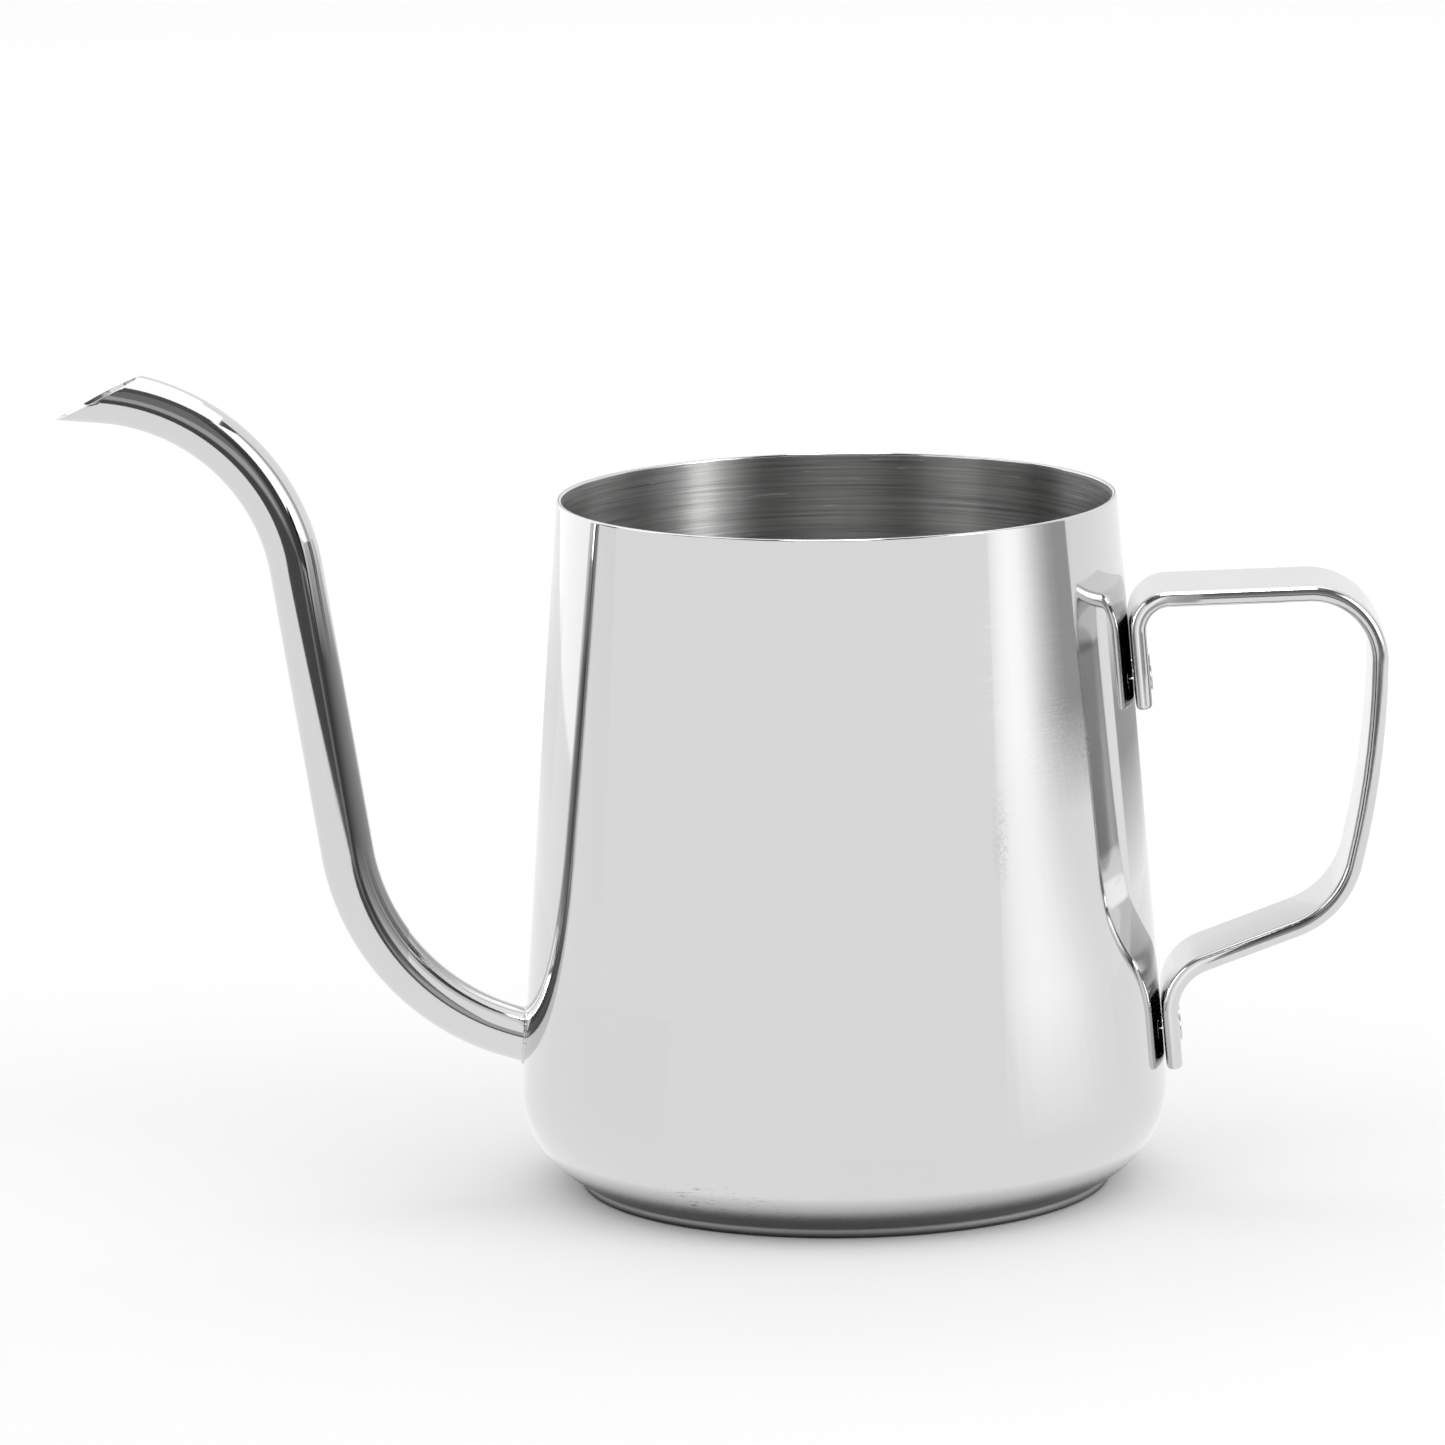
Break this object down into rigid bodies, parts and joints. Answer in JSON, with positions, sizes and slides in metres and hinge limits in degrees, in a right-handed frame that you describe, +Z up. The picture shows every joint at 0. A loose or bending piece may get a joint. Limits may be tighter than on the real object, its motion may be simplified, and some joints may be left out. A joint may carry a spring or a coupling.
{
  "type": "gooseneck kettle",
  "caption": "Small open pouring kettle: a tapered, polished steel body with a rounded foot, a slim S-curved gooseneck spout cut at a slant, and a bent flat-strap handle.",
  "frame": {"origin": "centre of the foot, on the table plane", "axes": "+Z up along the body's axis, the spout points to -X and the handle to +X"},
  "size_m": [0.1729, 0.0848, 0.1078],
  "materials": {
    "polished_stainless": "mirror polished outside, brushed round the inside",
    "weld_metal": "bright, dressed and polished"
  },
  "bodies": {
    "root": {"body_shell": "polished_stainless", "spout_tube": "polished_stainless", "spout_weld_bead": "weld_metal", "handle_strap": "polished_stainless", "upper_handle_welds": "weld_metal", "lower_handle_welds": "weld_metal"}
  },
  "joints": []
}
